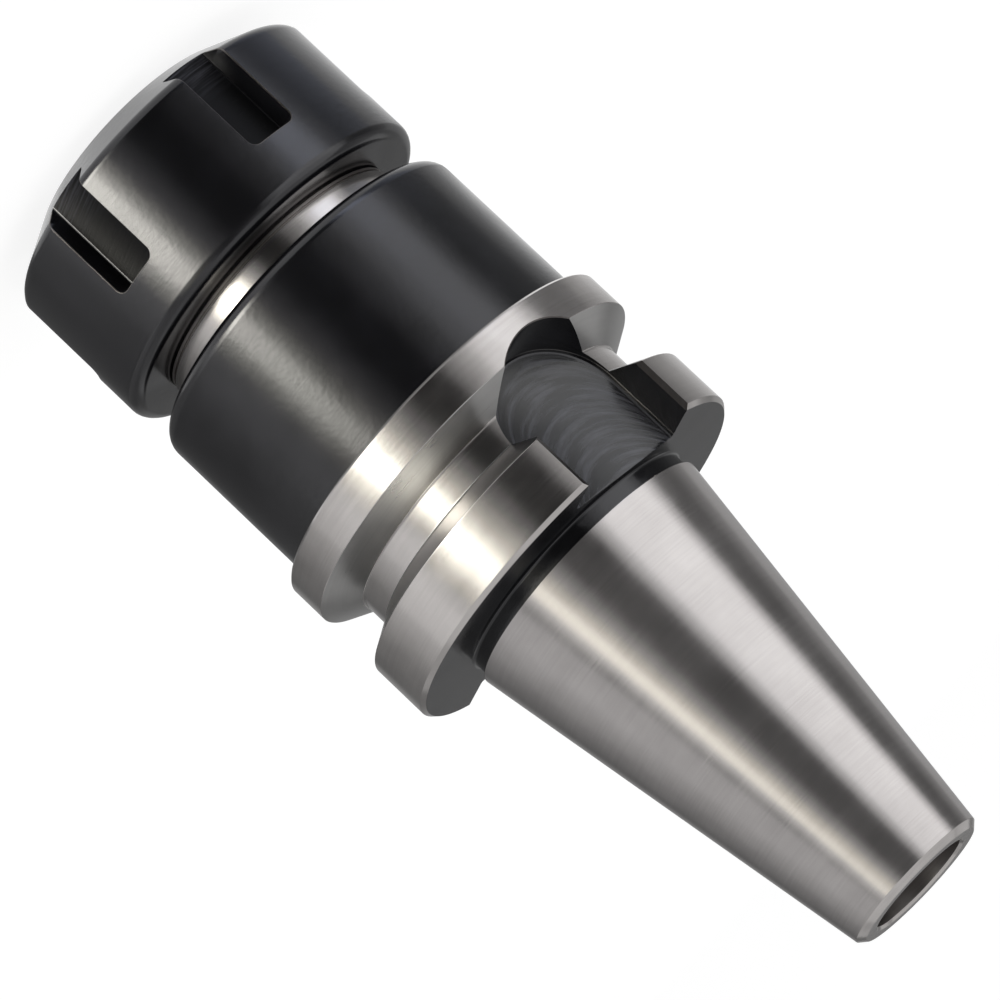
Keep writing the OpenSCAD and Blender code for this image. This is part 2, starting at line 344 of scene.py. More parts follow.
class Surface(Enum):
    """Surfaces of the holder, each with its finish."""

    TAPER = GroundSteel("ground_tool_steel", "#BEBAB9", "#CDC9C8", 0.2)
    RIM = GroundSteel("fine_turned_tool_steel", "#BDB9B7", "#CFCBC9", 0.18)
    # Groove flanks: steel turned rougher than the rims, and painted darker as shade in the groove
    FLANK = GroundSteel("rough_turned_steel_with_painted_shade", "#A1A09F", "#B2B1B0", 0.3)
    BLACK = BlackOxide("black_oxide_on_turned_steel")
    # Drive slot floors: crests painted paler as highlights all over
    DRIVE_FLOOR = EndMilledOxide("black_oxide_on_milled_steel")
    BROKEN_EDGE = GroundSteel("filed_steel_edge", "#595655", "#787472", 0.32)
    BORE = GroundSteel("bored_tool_steel", "#A5A19F", "#C2BEBC", 0.3, grain_mm=0.4)
    THREAD = GroundSteel("cut_thread_steel", "#8C8785", "#A8A3A1", 0.33, grain_mm=0.3)
    NUT = BlackOxide("black_oxide_on_nut", mottle_mm=0.8, cloud_mm=6.4)
    # Spanner slots: crest highlights painted full near the nut's front, fading to painted shade within 7 mm
    NUT_SLOT = EndMilledOxide("black_oxide_in_spanner_slots", "#09090C", "#54545B", 0.36, ior=1.22,
                              cutter_r_mm=40.0, feed_mm=0.5, highlight_reach_mm=7.0)
    COLLET = GroundSteel("ground_spring_steel", "#B7B5B2", "#C9C7C4", 0.26)
    SLIT = GroundSteel("sawn_spring_steel", "#6B6866", "#807D7A", 0.42)


@dataclass(frozen=True)
class Corner:
    """A corner of a turned section, with the surface of the face that leads on from it.

    A rounding puts an arc of that radius in its place, and a shift moves its circle along +X. On an
    arc, a normal is what the faces on both sides share.
    """

    r: float
    z: float
    surface: Surface
    rounding: float = 0.0
    shift: float = 0.0
    normal: Spot | None = None

    @property
    def end_z(self) -> float:
        """Gives the height at which the section leaves the corner."""
        return self.z

    def radii(self, angles: np.ndarray, z: float) -> np.ndarray:
        """Gives the distance of the corner's circle from the axis at each angle, whatever the height."""
        across = self.shift * np.sin(angles)
        return self.shift * np.cos(angles) + np.sqrt(self.r ** 2 - across ** 2)


@dataclass(frozen=True)
class Thread:
    """A 60 degree screw thread, right-handed, cut from one height of a turned section to another.

    Its helix starts from the frame's origin, so two threads of one pitch are in step.
    """

    major_r: float
    pitch: float
    z: float
    end_z: float
    surface: Surface

    # Crest, flank, root and flank as shares of one pitch
    PHASES = (0.0, 0.125, 0.4375, 0.6875)
    # Depth as a share of one pitch
    DEPTH = 0.5413
    normal = None

    @property
    def r(self) -> float:
        """Gives the pitch radius."""
        return self.major_r - self.DEPTH * self.pitch / 2

    def radii(self, angles: np.ndarray, z: np.ndarray | float) -> np.ndarray:
        """Gives the thread's radius at angles around the axis and heights along it."""
        phase = np.mod(z / self.pitch - angles / (2 * math.pi) + TINY, 1.0)
        minor_r = self.major_r - self.DEPTH * self.pitch
        return np.interp(phase, (*self.PHASES, 1.0), (self.major_r, self.major_r, minor_r, minor_r, self.major_r))

    def rows(self, angles: np.ndarray) -> tuple[np.ndarray, np.ndarray]:
        """Gives the helical edges of the thread, row by row.

        Args:
            angles: Angles around the axis, the first repeated one turn on.

        Returns:
            Radii and heights, each an array of rows by angles.
        """
        low, high = sorted((self.z, self.end_z))
        turns = range(math.floor(low / self.pitch) - 1, math.ceil(high / self.pitch) + 1)
        starts = np.array([(turn + phase) * self.pitch for turn in turns for phase in self.PHASES])
        heights = np.clip(starts[:, None] + self.pitch * angles[None, :] / (2 * math.pi), low, high)
        return self.radii(angles[None, :], heights), heights


def read(items: bpy.types.bpy_prop_collection, name: str, width: int = 1, kind: type = float) -> np.ndarray:
    """Reads one property of all the items.

    Args:
        items: Blender's collection of the items.
        name: Name of the property.
        width: Numbers that the property has.
        kind: Type of the numbers.

    Returns:
        A row for each item, or a plain list where the width is 1.
    """
    values = np.empty(len(items) * width, dtype=kind)
    items.foreach_get(name, values)
    return values.reshape(-1, width).squeeze()


@dataclass
class Lathe:
    """Turns a closed section, with the metal on its left, and remembers its faces' true normals."""

    section: Sequence[Corner | Thread]
    points: list[np.ndarray] = field(default_factory=list)
    faces: list[tuple[Face, Surface, int]] = field(default_factory=list)
    bands: list[tuple[float, ...]] = field(default_factory=list)

    def stations(self) -> list[Corner | Thread]:
        """Gives the section with each rounded corner replaced by points along its arc."""
        result = []
        for i, here in enumerate(self.section):
            if isinstance(here, Thread) or not here.rounding:
                result.append(here)
                continue
            before, after = self.section[i - 1], self.section[(i + 1) % len(self.section)]
            corner = Vector((here.r, here.z))
            back = (Vector((before.r, before.end_z)) - corner).normalized()
            on = (Vector((after.r, after.z)) - corner).normalized()
            centre = corner + (back + on).normalized() * here.rounding / math.sin(back.angle(on) / 2)
            start_normal = Vector((-back.y, back.x))
            turn = Vector((on.y, -on.x)).angle_signed(start_normal)
            convex = 1 if (corner - centre).dot(start_normal) > 0 else -1
            count = max(2, math.ceil(abs(math.degrees(turn)) / ARC_STEP_DEG))
            for k in range(count + 1):
                normal = Matrix.Rotation(turn * k / count, 2) @ start_normal
                spot = centre + normal * here.rounding * convex
                result.append(Corner(*spot, here.surface, normal=tuple(normal)))
        return result

    def add_points(self, radii: np.ndarray, angles: np.ndarray, z: np.ndarray | float) -> int:
        """Adds points.

        Args:
            radii: Distances from the axis.
            angles: Angles around it.
            z: Heights along it.

        Returns:
            Number of the first point.
        """
        first = len(self.points)
        spots = np.stack(np.broadcast_arrays(radii * np.cos(angles), radii * np.sin(angles), z), -1)
        self.points.extend(spots.reshape(-1, 3))
        return first

    def cut_thread(self, thread: Thread) -> None:
        """Adds the helical faces of a thread.

        Args:
            thread: The thread.
        """
        angles = np.append(ANGLES, 2 * math.pi)
        radii, heights = thread.rows(angles)
        first = self.add_points(radii, angles, heights)
        width = len(angles)
        for row in range(len(heights) - 1):
            for j in range(SEGMENTS):
                if heights[row + 1, j + 1] > heights[row, j]:
                    corner = first + row * width + j
                    quad = (corner, corner + 1, corner + width + 1, corner + width)
                    self.faces.append((quad if thread.end_z > thread.z else quad[::-1], thread.surface, 0))

    def turn(self) -> None:
        """Builds all the rings, bands and threads."""
        stations = self.stations()
        rings = []
        for spot in stations:
            ends = dict.fromkeys((spot.z, spot.end_z))
            rings.append([self.add_points(spot.radii(ANGLES, z), ANGLES, z) for z in ends])
            if isinstance(spot, Thread):
                self.cut_thread(spot)
        for i, spot in enumerate(stations):
            after = stations[(i + 1) % len(stations)]
            along = Vector((after.r - spot.r, after.z - spot.end_z)).normalized()
            flat = (along.y, -along.x)
            in_arc = spot.normal and after.normal and Vector(spot.normal).dot(flat) < SAME_NORMAL
            normals = (*spot.normal, *after.normal) if in_arc else flat * 2
            self.bands.append((spot.r, spot.end_z, after.r, after.z, *normals))
            plain = Thread not in (type(spot), type(after)) and not (spot.shift or after.shift)
            low, high = rings[i][-1], rings[(i + 1) % len(rings)][0]
            for j in range(SEGMENTS):
                k = (j + 1) % SEGMENTS
                self.faces.append(((low + j, low + k, high + k, high + j), spot.surface, i + 1 if plain else 0))

    def mesh(self, name: str, surfaces: Sequence[Surface]) -> Mesh:
        """Turns the section and gives its mesh.

        Args:
            name: Name of the mesh.
            surfaces: Surfaces in the order of the material slots.

        Returns:
            A closed mesh in metres.
        """
        self.turn()
        corners, used, bands = zip(*self.faces)
        mesh = bpy.data.meshes.new(name)
        mesh.from_pydata([tuple(point * MM) for point in self.points], [], corners)
        mesh.polygons.foreach_set("material_index", [surfaces.index(surface) for surface in used])
        mesh.attributes.new(BAND, "INT", "FACE").data.foreach_set("value", bands)
        shape = bmesh.new()
        shape.from_mesh(mesh)
        bmesh.ops.remove_doubles(shape, verts=shape.verts, dist=WELD_MM * MM)
        shape.to_mesh(mesh)
        shape.free()
        return mesh

    def shade(self, mesh: Mesh) -> None:
        """Gives every turned face the exact normals of its surface, so that no facet shows.

        Args:
            mesh: Mesh of the piece, after its cuts.
        """
        mesh.polygons.foreach_set("use_smooth", [True] * len(mesh.polygons))
        mesh.set_sharp_from_angle(angle=math.radians(SHARP_EDGE_DEG))
        normals = read(mesh.corner_normals, "vector", 3)
        spots = read(mesh.vertices, "co", 3)[read(mesh.loops, "vertex_index", kind=np.int32)] / MM
        face_bands = read(mesh.attributes[BAND].data, "value", kind=np.int32)
        loop_bands = np.repeat(face_bands, read(mesh.polygons, "loop_total", kind=np.int32))
        turned = loop_bands > 0
        x, y, z = spots[turned].T
        radius = np.hypot(x, y)
        r0, z0, r1, z1, nr0, nz0, nr1, nz1 = np.array(self.bands)[loop_bands[turned] - 1].T
        run = (r1 - r0) ** 2 + (z1 - z0) ** 2
        share = np.clip(((radius - r0) * (r1 - r0) + (z - z0) * (z1 - z0)) / run, 0, 1)
        out = nr0 + (nr1 - nr0) * share
        up = nz0 + (nz1 - nz0) * share
        normals[turned] = np.stack((out * x / radius, out * y / radius, up), 1) / np.hypot(out, up)[:, None]
        mesh.normals_split_custom_set(normals.tolist())


@dataclass(frozen=True)
class Level:
    """One ring of a pocket, with the surface of the wall that leads out from it.

    It lies outside the pocket's plan by its offset. Its height over the axis is one number or depends
    on the place across and along the pocket.
    """

    offset: float
    height: float | Callable[[float, float], float]
    surface: Surface

    def spot(self, y: float, z: float) -> Vector:
        """Gives the ring's point at a place across and along the pocket."""
        return Vector((self.height(y, z) if callable(self.height) else self.height, y, z))


@dataclass(frozen=True)
class Pocket:
    """A solid that an end mill, an edge breaker or a saw takes out of a turned piece.

    Its plan gives the pocket's open outline for an offset, as points across and along it in mirror
    order. Its levels go from the floor outwards, and it is turned around the axis from +X.
    """

    plan: Callable[[float], list[Spot]]
    levels: Sequence[Level]
    floor: Surface
    turn_deg: float

    def loft(self, shape: bmesh.types.BMesh, surfaces: Sequence[Surface]) -> None:
        """Adds the solid to a shape.

        Args:
            shape: Shape of all that is taken out of the piece.
            surfaces: Surfaces in the order of the piece's material slots.
        """
        turn = Matrix.Rotation(math.radians(self.turn_deg), 3, "Z") * MM
        rings = []
        for level in self.levels:
            rings.append([shape.verts.new(turn @ level.spot(y, z)) for y, z in self.plan(level.offset)])
        count = len(rings[0])
        for level, low, high in zip(self.levels, rings, rings[1:]):
            for i in range(count):
                k = (i + 1) % count
                wall = shape.faces.new((low[i], low[k], high[k], high[i]))
                wall.material_index = surfaces.index(level.surface)
        heights = [z for _, z in self.plan(0.0)]
        half = (count - 1) // 2
        rows = next((i for i in range(half) if math.isclose(heights[i], heights[i + 1])), half)
        for ring in (rings[0], rings[-1]):
            strips = [(ring[i], ring[i + 1], ring[count - 2 - i], ring[count - 1 - i]) for i in range(rows - 1)]
            for strip in (*strips, ring[rows - 1:count - rows + 1]):
                shape.faces.new(strip).material_index = surfaces.index(self.floor)


def arc_points(centre: Spot, radius: float, start_deg: float, end_deg: float, count: int) -> list[Spot]:
    """Gives points along an arc.

    Args:
        centre: Centre of the arc.
        radius: Its radius.
        start_deg: Angle of the first point.
        end_deg: Angle of the last point.
        count: Number of steps.

    Returns:
        The points, both ends among them.
    """
    angles = [math.radians(start_deg + (end_deg - start_deg) * i / count) for i in range(count + 1)]
    return [(centre[0] + radius * math.cos(angle), centre[1] + radius * math.sin(angle)) for angle in angles]


@dataclass
class Piece:
    """One separate piece of the holder."""

    name: str
    node: str
    body: str
    slot: str
    surfaces: tuple[Surface, ...]

    def section(self) -> list[Corner | Thread]:
        """Gives the piece's turned section."""
        raise NotImplementedError

    def pockets(self) -> list[Pocket]:
        """Gives the pockets that are milled or sawn out of the turned piece, clear of each other."""
        raise NotImplementedError

    def cut(self, piece: Object) -> None:
        """Cuts the pockets out of the piece.

        Args:
            piece: The turned piece.
        """
        shape = bmesh.new()
        for pocket in self.pockets():
            pocket.loft(shape, self.surfaces)
        bmesh.ops.recalc_face_normals(shape, faces=shape.faces)
        cutters = bpy.data.meshes.new("cutters")
        shape.to_mesh(cutters)
        shape.free()
        for material in piece.data.materials:
            cutters.materials.append(material)
        tool = link("cutters", cutters)
        modifier = piece.modifiers.new("cut", "BOOLEAN")
        modifier.operation = "DIFFERENCE"
        modifier.solver = "EXACT"
        modifier.object = tool
        result = bpy.data.meshes.new_from_object(piece.evaluated_get(bpy.context.evaluated_depsgraph_get()))
        piece.modifiers.clear()
        old = piece.data
        result.name = old.name
        piece.data = result
        bpy.data.objects.remove(tool)
        for mesh in (old, cutters):
            bpy.data.meshes.remove(mesh)

    def build(self, materials: dict[Surface, Material]) -> None:
        """Turns, cuts and dresses the piece, and sets it in the frame.

        Args:
            materials: Material of each surface.
        """
        lathe = Lathe(self.section())
        piece = link(self.name, lathe.mesh(self.name, self.surfaces))
        for surface in self.surfaces:
            piece.data.materials.append(materials[surface])
        self.cut(piece)
        lathe.shade(piece.data)
        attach(piece, self.body)
        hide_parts(self.node)
        log.info("%s: %d faces, on %s", self.name, len(piece.data.polygons), self.body)


@dataclass
class Arbor(Piece):
    """One-piece arbor: threaded nose, ground neck, black body, gripper flange and taper."""

    name: str = "arbor_dressed"
    node: str = "arbor"
    body: str = "arbor"
    slot: str = "arbor_steel"
    surfaces: tuple[Surface, ...] = (Surface.TAPER, Surface.RIM, Surface.FLANK, Surface.BLACK, Surface.DRIVE_FLOOR,
                                     Surface.BROKEN_EDGE, Surface.BORE, Surface.THREAD)
    edge: float = 0.12
    nose_front: float = 6.6
    nose_bevel: float = 1.0
    thread_r: float = 15.98
    thread_pitch: float = 1.5
    thread_end: float = 20.9
    crest: tuple[float, float] = (21.5, 21.8)
    undercut_r: float = 15.6
    undercut_end: float = 22.1
    neck_r: float = 16.1
    neck_fillet: float = 0.25
    body_front: float = 25.1
    body_r: float = 21.0
    body_edge_r: float = 1.8
    flange_nose: float = 46.4
    flange_face: float = 66.4
    flange_r: float = 23.0
    flange_nose_bevel: float = 0.3
    flange_bevel: float = 0.5
    flange_fillet: float = 0.15
    groove_mid: float = 55.15
    groove_floor_r: float = 18.85
    groove_floor_w: float = 3.3
    groove_slope_deg: float = 30.0
    groove_fillets: tuple[float, float] = (0.3, 0.2)
    relief_r: float = 15.3
    relief_fillet: float = 0.4
    gauge_plane: float = 68.4
    gauge_r: float = 15.875
    taper_rate: float = 0.29167
    tail_end: float = 116.8
    tail_bevel: float = 0.7
    pilot_r: float = 6.25
    pilot_len: float = 6.0
    pilot_bevel: float = 0.3
    stud_r: float = 6.0
    stud_pitch: float = 1.75
    stud_floor: float = 92.8
    coolant_r: float = 4.0
    rear_bore_r: float = 8.25
    rear_bore_end: float = 58.4
    socket_end: float = 36.4
    socket_r: float = 13.0
    socket_start: float = 6.2
    socket_slope_deg: float = 8.0
    socket_bevel: float = 0.6
    socket_gap: float = 0.05
    drive_r: float = 8.05
    drive_floor: float = 16.3
    drive_centre: float = 57.25
    drive_root: float = 0.4
    drive_bevel: float = 0.6
    overrun: float = 0.6

    def taper_r(self, z: float) -> float:
        """Gives the radius of the taper at a height."""
        return self.gauge_r - self.taper_rate / 2 * (z - self.gauge_plane)

    def socket_taper_r(self, z: float) -> float:
        """Gives the radius of the collet socket at a height."""
        return self.socket_r - (z - self.socket_start) * math.tan(math.radians(self.socket_slope_deg)) + self.socket_gap

    def section(self) -> list[Corner | Thread]:
        """Gives the arbor's section, out from the socket's mouth, up the outside and down the bores."""
        half = self.groove_floor_w / 2
        flank = (self.flange_r - self.groove_floor_r) * math.tan(math.radians(self.groove_slope_deg))
        thread_start = self.nose_front + self.nose_bevel
        thread_root = self.thread_r - Thread.DEPTH * self.thread_pitch
        crest_start, crest_end = self.crest
        tail_r = self.taper_r(self.tail_end)
        mouth_z = self.nose_front + self.socket_bevel
        stud_minor = self.stud_r - Thread.DEPTH * self.stud_pitch
        tip = (self.rear_bore_r - self.coolant_r) / 2
        black, rim, bore, thread = Surface.BLACK, Surface.RIM, Surface.BORE, Surface.THREAD
        fine = self.edge / 2
        return [
            Corner(self.socket_taper_r(mouth_z) + self.socket_bevel, self.nose_front, rim),
            Corner(thread_root - self.nose_bevel, self.nose_front, thread, self.edge),
            Corner(thread_root, thread_start, thread),
            Thread(self.thread_r, self.thread_pitch, thread_start + fine, self.thread_end, thread),
            Corner(thread_root, self.thread_end + fine, thread),
            Corner(thread_root, crest_start, thread),
            Corner(self.thread_r, crest_start, thread, fine / 2),
            Corner(self.thread_r, crest_end, thread, fine / 2),
            Corner(self.undercut_r, crest_end, thread),
            Corner(self.undercut_r, self.undercut_end, rim),
            Corner(self.neck_r, self.undercut_end, rim, fine),
            Corner(self.neck_r, self.body_front, black, self.neck_fillet),
            Corner(self.body_r, self.body_front, black, self.body_edge_r),
            Corner(self.body_r, self.flange_nose, black, self.flange_fillet),
            Corner(self.flange_r - self.flange_nose_bevel, self.flange_nose, rim, fine),
            Corner(self.flange_r, self.flange_nose + self.flange_nose_bevel, rim, fine),
            Corner(self.flange_r, self.groove_mid - half - flank - fine / 2, rim),
            Corner(self.flange_r - fine, self.groove_mid - half - flank + fine / 2, Surface.FLANK),
            Corner(self.groove_floor_r, self.groove_mid - half, rim, self.groove_fillets[0]),
            Corner(self.groove_floor_r, self.groove_mid + half, Surface.FLANK, self.groove_fillets[1]),
            Corner(self.flange_r, self.groove_mid + half + flank, rim, self.edge),
            Corner(self.flange_r, self.flange_face - self.flange_bevel, rim, fine),
            Corner(self.flange_r - self.flange_bevel, self.flange_face, black, fine),
            Corner(self.relief_r, self.flange_face, black, self.relief_fillet),
            Corner(self.relief_r, self.gauge_plane, black),
            Corner(self.taper_r(self.gauge_plane), self.gauge_plane, Surface.TAPER, fine),
            Corner(self.taper_r(self.tail_end - self.tail_bevel), self.tail_end - self.tail_bevel, rim, self.edge),
            Corner(tail_r - self.tail_bevel, self.tail_end, rim, self.edge),
            Corner(self.pilot_r + self.pilot_bevel, self.tail_end, rim, fine),
            Corner(self.pilot_r, self.tail_end - self.pilot_bevel, bore, fine),
            Corner(self.pilot_r, self.tail_end - self.pilot_len, bore),
            Corner(stud_minor, self.tail_end - self.pilot_len, bore),
            Thread(self.stud_r, self.stud_pitch, self.tail_end - self.pilot_len - self.edge, self.stud_floor, thread),
            Corner(stud_minor, self.stud_floor - self.edge, bore),
            Corner(self.coolant_r, self.stud_floor - self.edge - (stud_minor - self.coolant_r) / 2, bore),
            Corner(self.coolant_r, self.rear_bore_end + tip, bore),
            Corner(self.rear_bore_r, self.rear_bore_end, bore),
            Corner(self.rear_bore_r, self.socket_end, bore),
            Corner(self.socket_taper_r(self.socket_end), self.socket_end, bore),
            Corner(self.socket_taper_r(mouth_z), mouth_z, bore, fine),
        ]

    def drive_plan(self, offset: float) -> list[Spot]:
        """Gives the outline of a drive slot, down one side, round its end and back up the other.

        Args:
            offset: How far outside the slot the outline runs.

        Returns:
            Points across and along the slot, in mirror order.
        """
        radius = self.drive_r + offset
        top = self.flange_face + 2 * self.overrun
        heights = np.linspace(top, self.drive_centre, 12, endpoint=False)
        left = [(-radius, z) for z in heights]
        round_end = arc_points((0, self.drive_centre), radius, 180, 360, 48)
        return left + round_end + [(radius, z) for z in heights[::-1]]

    def rim_break(self, z: float) -> float:
        """Gives the width of the bevel on a drive slot's outer edge, fine on the nose side's rim."""
        share = min(1.0, max(0.0, (z - self.groove_mid) / self.groove_floor_w))
        return self.edge + (self.drive_bevel - self.edge) * share

    def drive_slot(self, turn_deg: float) -> Pocket:
        """Gives one drive slot.

        Args:
            turn_deg: Turn of the slot around the axis.

        Returns:
            The slot as a pocket.
        """
        def rim_x(y: float) -> float:
            """Gives the flange's surface across the slot."""
            return math.sqrt(self.flange_r ** 2 - y ** 2)
        root, wall = self.drive_root, Surface.BLACK
        lip = self.drive_bevel + self.overrun
        levels = [
            Level(-root, self.drive_floor, wall),
            Level(-root * ROOT_STEP, self.drive_floor + root * ROOT_STEP, wall),
            Level(0.0, self.drive_floor + root, Surface.RIM),
            Level(0.0, self.drive_floor + root + self.edge, wall),
            Level(0.0, lambda y, z: rim_x(y) - self.rim_break(z), Surface.BROKEN_EDGE),
            Level(lip, lambda y, z: rim_x(y) + lip - self.rim_break(z), wall),
            Level(lip, self.flange_r + 5 * self.overrun, wall),
        ]
        return Pocket(self.drive_plan, levels, Surface.DRIVE_FLOOR, turn_deg)

    def pockets(self) -> list[Pocket]:
        """Gives the two drive slots."""
        return [self.drive_slot(turn) for turn in (0.0, 180.0)]


@dataclass
class ClampingNut(Piece):
    """Slotted clamping nut, with its front cone, eccentric extraction lip and thread."""

    name: str = "clamping_nut_dressed"
    node: str = "clamping_nut"
    body: str = "clamping_nut"
    slot: str = "nut_black_oxide"
    surfaces: tuple[Surface, ...] = (Surface.NUT, Surface.NUT_SLOT, Surface.BROKEN_EDGE, Surface.THREAD)
    clock_deg: float = 6.1
    edge: float = 0.15
    length: float = 21.3
    face_r: float = 14.5
    outer_r: float = 21.05
    cone_deg: float = 30.0
    edge_r: float = 1.5
    rear_edge_r: float = 1.4
    mouth_bevel: float = 0.2
    thread_r: float = 16.03
    thread_pitch: float = 1.5
    opening_r: float = 10.75
    opening_slope_deg: float = 30.0
    head_back: float = 3.0
    pocket_r: float = 12.9
    lip: tuple[float, float] = (3.3, 4.7)
    lip_r: float = 12.1
    lip_shift: float = 0.7
    cavity_r: float = 13.6
    cavity_end: float = 5.6
    relief_r: float = 16.35
    relief_end: float = 8.3
    slot_count: int = 6
    slot_w: float = 6.2
    slot_floor: float = 17.6
    slot_len: float = 15.0
    slot_corner_r: float = 1.0
    slot_root: float = 0.25
    overrun: float = 0.5

    def outside(self) -> list[Corner]:
        """Gives the outside of the nut, from its front face to its rear face."""
        nut = Surface.NUT
        cone_end = (self.outer_r - self.face_r) * math.tan(math.radians(self.cone_deg))
        return [
            Corner(self.face_r, 0.0, nut, self.edge),
            Corner(self.outer_r, cone_end, nut, self.edge_r),
            Corner(self.outer_r, self.length, nut, self.rear_edge_r),
            Corner(self.outer_r - self.rear_edge_r - self.edge, self.length, nut),
        ]

    def section(self) -> list[Corner | Thread]:
        """Gives the nut's section, out from the opening, up the outside and down the thread."""
        nut, thread = Surface.NUT, Surface.THREAD
        slope = math.tan(math.radians(self.opening_slope_deg))
        thread_minor = self.thread_r - Thread.DEPTH * self.thread_pitch
        thread_top = self.length - self.mouth_bevel
        thread_low = self.relief_end + self.relief_r - thread_minor
        lip_front, lip_back = self.lip
        return [
            Corner(self.opening_r, 0.0, nut, self.edge),
            *self.outside(),
            Corner(thread_minor + self.mouth_bevel, self.length, thread),
            Corner(thread_minor, thread_top, thread),
            Thread(self.thread_r, self.thread_pitch, thread_top - 0.05, thread_low + 0.05, thread),
            Corner(thread_minor, thread_low, nut),
            Corner(self.relief_r, self.relief_end, nut),
            Corner(self.relief_r, self.cavity_end, nut),
            Corner(self.cavity_r, self.cavity_end, nut),
            Corner(self.cavity_r, lip_back, nut),
            Corner(self.lip_r, lip_back, nut, shift=self.lip_shift),
            Corner(self.lip_r, lip_front, nut, shift=self.lip_shift),
            Corner(self.pocket_r, lip_front, nut),
            Corner(self.pocket_r, self.head_back, nut),
            Corner(self.opening_r + self.head_back * slope, self.head_back, nut),
        ]

    def slot_plan(self, offset: float) -> list[Spot]:
        """Gives the outline of a spanner slot, up one side, across its end and back.

        Args:
            offset: How far outside the slot the outline runs.

        Returns:
            Points across and along the slot, in mirror order.
        """
        half = self.slot_w / 2 + offset
        corner_r = self.slot_corner_r + offset
        corner_z = self.slot_len - self.slot_corner_r
        inner = self.slot_w / 2 - self.slot_corner_r
        heights = np.linspace(-1.0, corner_z, 48, endpoint=False)
        left = [(-half, z) for z in heights]
        first = arc_points((-inner, corner_z), corner_r, 180, 90, 6)
        second = arc_points((inner, corner_z), corner_r, 90, 0, 6)
        across = [(-inner + 2 * inner * i / 6, corner_z + corner_r) for i in range(1, 6)]
        return left + first + across + second + [(half, z) for z in heights[::-1]]

    def spanner_slot(self, turn_deg: float, outline: tuple[list[float], list[float]]) -> Pocket:
        """Gives one spanner slot.

        Args:
            turn_deg: Turn of the slot around the axis.
            outline: Heights and radii along the nut's outside.

        Returns:
            The slot as a pocket.
        """
        def skin_x(y: float, z: float, sink: float) -> float:
            """Gives the place of the nut's outside across the slot, sunk by a depth."""
            # Never down to the floor, and a little lower with each deeper level, so no two levels meet
            least = self.slot_floor + self.slot_root + 0.1 - sink * 0.2
            return max(least, math.sqrt(np.interp(z, *outline) ** 2 - y ** 2) - sink)
        edge, root, wall, worn = self.edge, self.slot_root, Surface.NUT, Surface.BROKEN_EDGE
        levels = [
            Level(-root, self.slot_floor, wall),
            Level(-root * ROOT_STEP, self.slot_floor + root * ROOT_STEP, wall),
            Level(0.0, self.slot_floor + root, wall),
            Level(0.0, lambda y, z: skin_x(y, z, edge), worn),
            Level(edge * ROOT_STEP, lambda y, z: skin_x(y, z, edge * ROOT_STEP), worn),
            Level(edge + self.overrun, lambda y, z: skin_x(y, z, -0.6 * self.overrun), wall),
            Level(edge + 2 * self.overrun, self.outer_r + 3 * self.overrun, wall),
        ]
        return Pocket(self.slot_plan, levels, Surface.NUT_SLOT, turn_deg)

    def pockets(self) -> list[Pocket]:
        """Gives the spanner slots."""
        skin = [spot for spot in Lathe(self.outside()).stations() if self.edge < spot.z < self.length]
        front = 2.0
        heights = [-front, *(spot.z for spot in skin)]
        radii = [self.face_r - front / math.tan(math.radians(self.cone_deg)), *(spot.r for spot in skin)]
        turns = [self.clock_deg + i * 360 / self.slot_count for i in range(self.slot_count)]
        return [self.spanner_slot(turn, (heights, radii)) for turn in turns]


